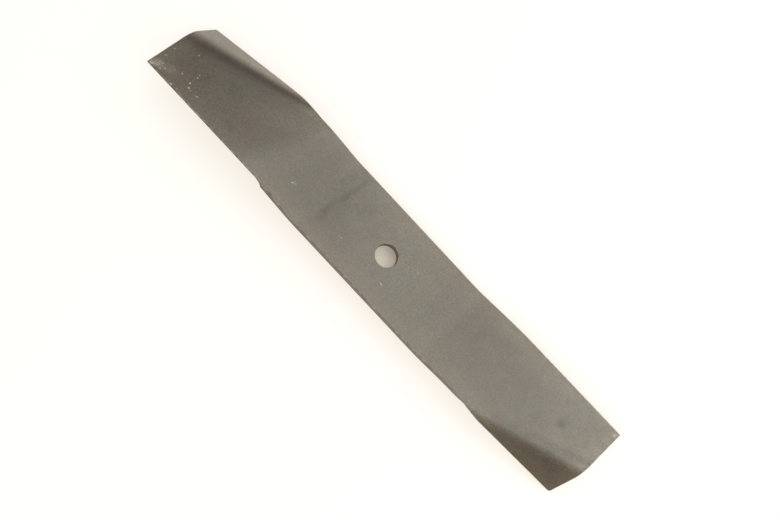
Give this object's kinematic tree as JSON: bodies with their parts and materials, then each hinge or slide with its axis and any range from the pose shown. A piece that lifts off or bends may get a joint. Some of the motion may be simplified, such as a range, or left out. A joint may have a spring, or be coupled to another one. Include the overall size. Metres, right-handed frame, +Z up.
{
  "type": "rotary mower blade",
  "caption": "Formed steel bar with a central bore, raised cutting ends and bent-down sails, spun flat under a mower deck to cut and lift grass.",
  "frame": {"origin": "centre of the bore at half the thickness of the hub", "axes": "the blade lies on a level floor, cutting face up, as it comes to rest: +X along the bar, +Y across it towards the long side it is tipped onto, +Z up. The bore leans from +Z towards +Y."},
  "size_m": [0.3972, 0.0655, 0.0421],
  "materials": {
    "paint": "satin dark warm grey paint with a few chips"
  },
  "bodies": {
    "root": {"blade": "paint"}
  },
  "joints": []
}
